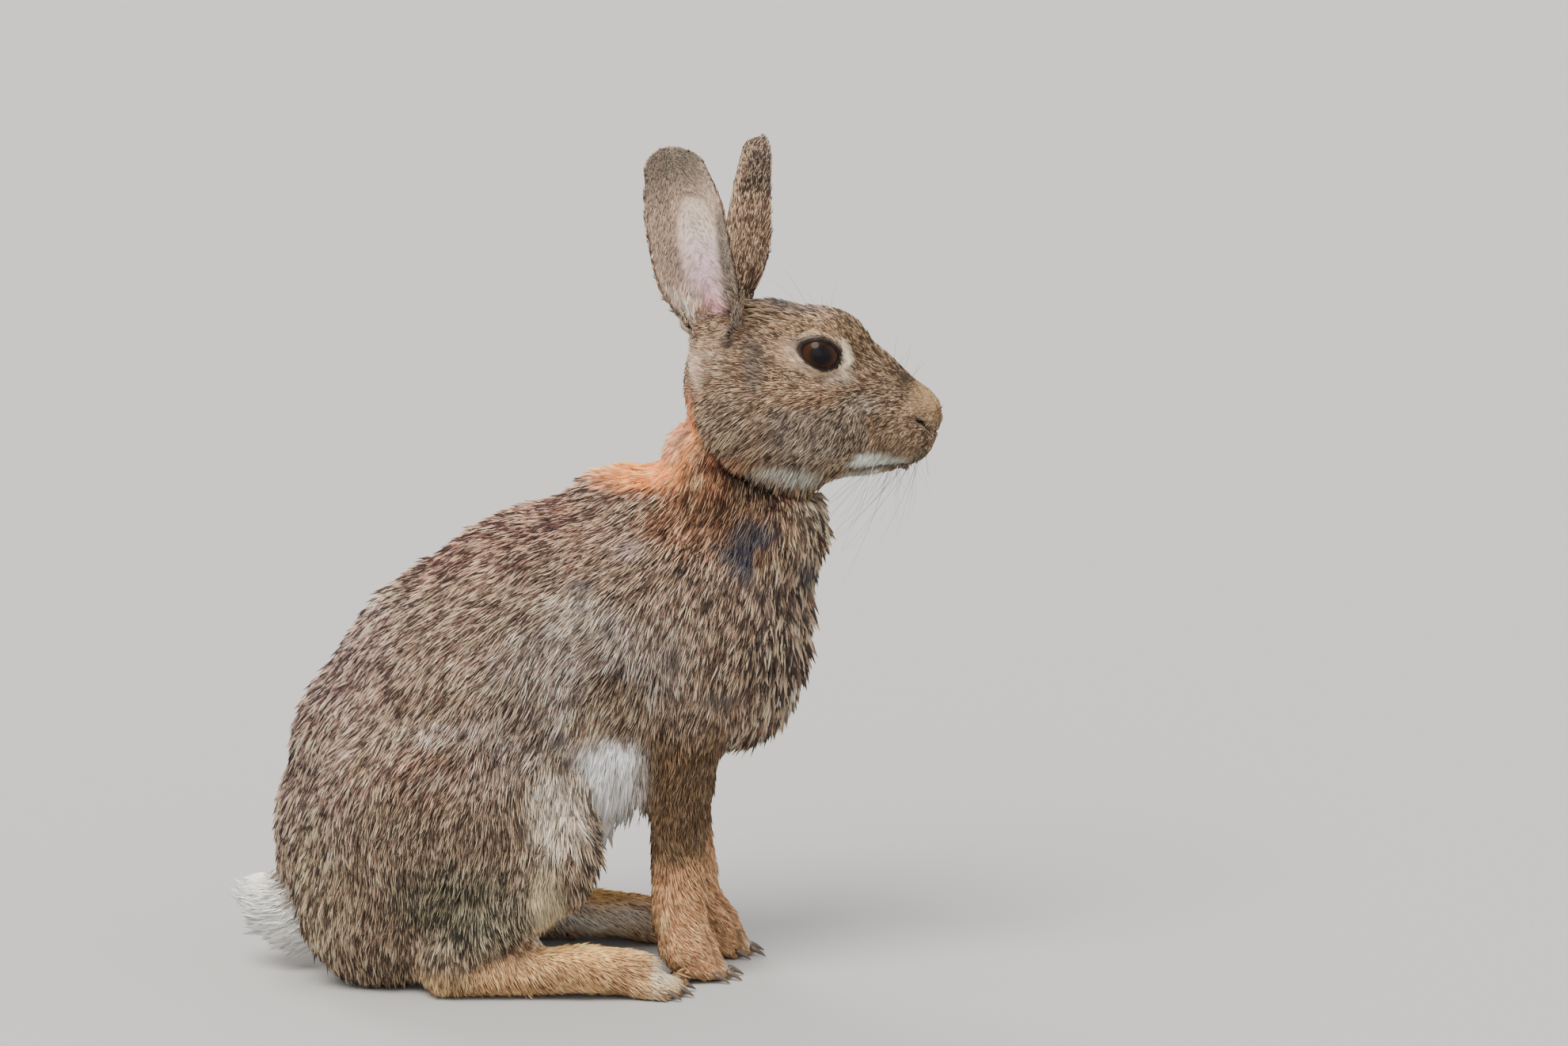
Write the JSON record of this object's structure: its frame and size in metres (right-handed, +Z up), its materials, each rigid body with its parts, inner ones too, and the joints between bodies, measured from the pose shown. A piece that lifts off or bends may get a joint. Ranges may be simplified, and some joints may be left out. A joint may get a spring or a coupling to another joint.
{
  "type": "european rabbit sitting up",
  "caption": "Life-size still model of a wild European rabbit sitting up on its haunches, ears raised, head level and looking ahead.",
  "frame": {"origin": "on the floor, under the middle of the model's bounding box", "axes": "+X the way the rabbit faces, +Y its left side, +Z up"},
  "size_m": [0.256, 0.1152, 0.3112],
  "materials": {
    "agouti_fur": "speckled brown fur",
    "ear_fur": "short thin fur over pink skin",
    "white_fur": "soft white fur",
    "buff_fur": "short buff fur",
    "eye": "wet gloss, brown iris and black pupil"
  },
  "bodies": {
    "root": {"head": "agouti_fur", "neck": "agouti_fur", "trunk": "agouti_fur", "tail": "white_fur", "ear_right": "ear_fur", "ear_left": "ear_fur", "eye_right": "eye", "eye_left": "eye", "foreleg_right": "agouti_fur", "foreleg_left": "agouti_fur", "forepaw_right": "agouti_fur", "forepaw_left": "agouti_fur", "hindleg_right": "agouti_fur", "hindleg_left": "agouti_fur", "hindfoot_right": "buff_fur", "hindfoot_left": "buff_fur"}
  },
  "joints": []
}
